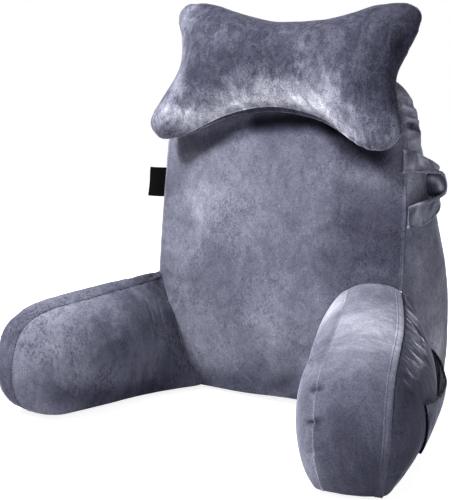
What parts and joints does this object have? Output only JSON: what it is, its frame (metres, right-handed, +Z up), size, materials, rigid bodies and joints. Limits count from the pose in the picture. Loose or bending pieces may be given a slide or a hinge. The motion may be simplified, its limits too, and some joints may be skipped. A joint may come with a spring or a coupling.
{
  "type": "reading pillow",
  "caption": "Wedge-shaped reading pillow with forward arms, a bone-shaped neck cushion, a side carry strap and an open arm pocket, in blue-grey velour.",
  "frame": {"origin": "on the floor under the flat middle of the back's base, half way between its sides", "axes": "+Z up, -Y the way the sitter faces and the arms reach, +X towards the side with the strap and the pocket"},
  "size_m": [0.7034, 0.5529, 0.6363],
  "materials": {
    "velour": "soft crushed velour, matt with a light sheen on the nap",
    "woven_tab": "smooth black woven tape, left blank"
  },
  "bodies": {
    "root": {"backrest": "velour", "arm_left": "velour", "arm_right": "velour", "neck_pillow": "velour", "side_handle": "velour", "arm_pocket": "velour", "side_label": "woven_tab"}
  },
  "joints": []
}
